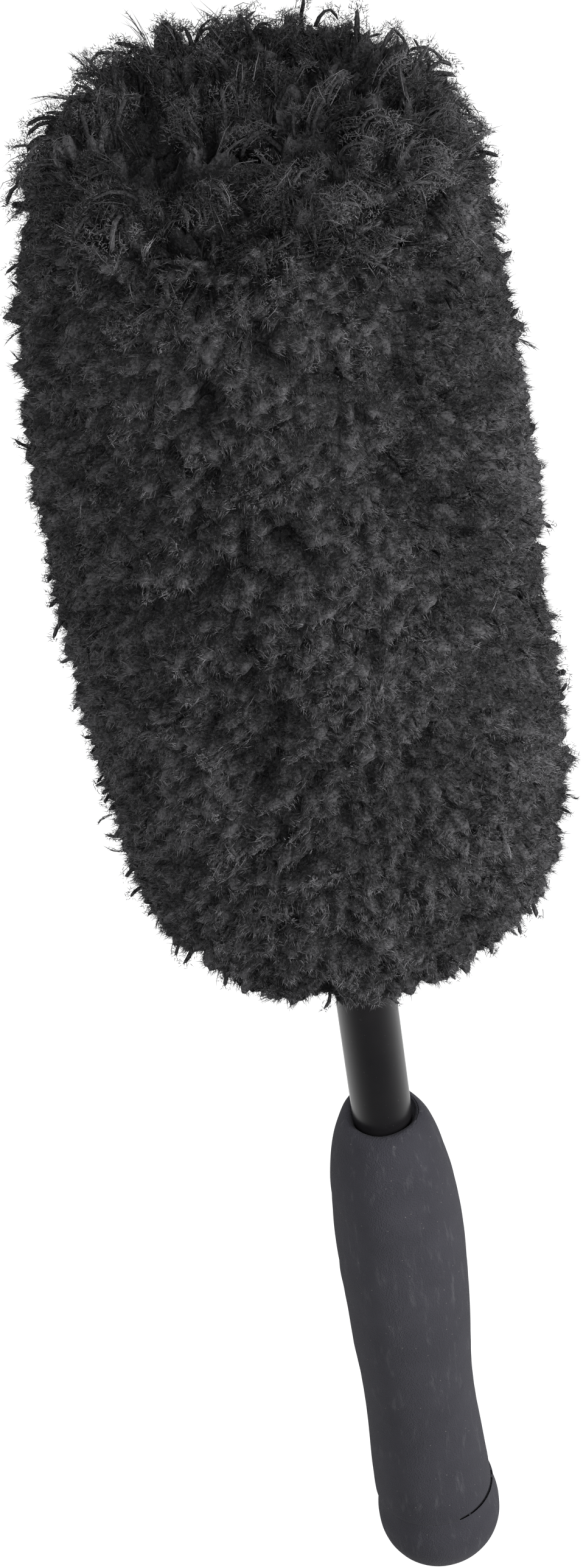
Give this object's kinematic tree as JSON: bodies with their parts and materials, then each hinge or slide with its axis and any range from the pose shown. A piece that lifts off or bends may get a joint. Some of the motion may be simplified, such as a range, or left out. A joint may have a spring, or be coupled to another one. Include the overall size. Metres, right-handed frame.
{
  "type": "wheel brush",
  "caption": "Wheel cleaning brush with a thick charcoal microfibre head, a washable pull-off cover over a foam core, a glossy black shaft and a contoured foam grip.",
  "frame": {"origin": "centre of the lowest point of the ball-shaped grip end, with the brush upright", "axes": "+Z along the shaft from the grip towards the tip of the head, +X along the tip seam"},
  "size_m": [0.102, 0.102, 0.442],
  "materials": {
    "gloss_black_tube": "smooth glossy black lacquer",
    "black_plastic": "moulded satin",
    "grip_foam": "matte closed-cell foam with dust and scuffs",
    "steel": "zinc plated",
    "core_foam": "dense closed-cell foam",
    "wrap_foam": "soft open-cell foam",
    "backing_knit": "tight polyester knit",
    "microfibre_pile": "long plush microfibre",
    "seam_tape": "overlocked edge",
    "elastic": "covered cord elastic",
    "thread": "polyester thread"
  },
  "bodies": {
    "handle": {"shaft_tube": "gloss_black_tube", "shaft_end_plug": "black_plastic", "shaft_top_plug": "black_plastic", "grip_sleeve": "grip_foam", "grip_end_cap": "grip_foam", "lower_collar": "black_plastic", "collar_pin": "steel", "foam_core": "core_foam", "foam_wrap": "wrap_foam", "top_flange": "black_plastic", "tip_washer": "steel", "tip_screw": "steel", "nose_cap": "core_foam"},
    "cover": {"cover_backing": "backing_knit", "cover_pile": "microfibre_pile", "side_seam": "seam_tape", "tip_seam": "seam_tape", "skirt_backing": "backing_knit", "skirt_pile": "microfibre_pile", "hem_channel": "seam_tape", "hem_elastic": "elastic", "hem_stitch": "thread"}
  },
  "joints": [
    {"name": "cover_slide", "type": "slide", "parent": "handle", "child": "cover", "axis": [0, 0, 1], "range_m": [0, 0.2], "deforming": ["skirt_backing", "skirt_pile", "hem_channel", "hem_elastic", "hem_stitch"]}
  ]
}
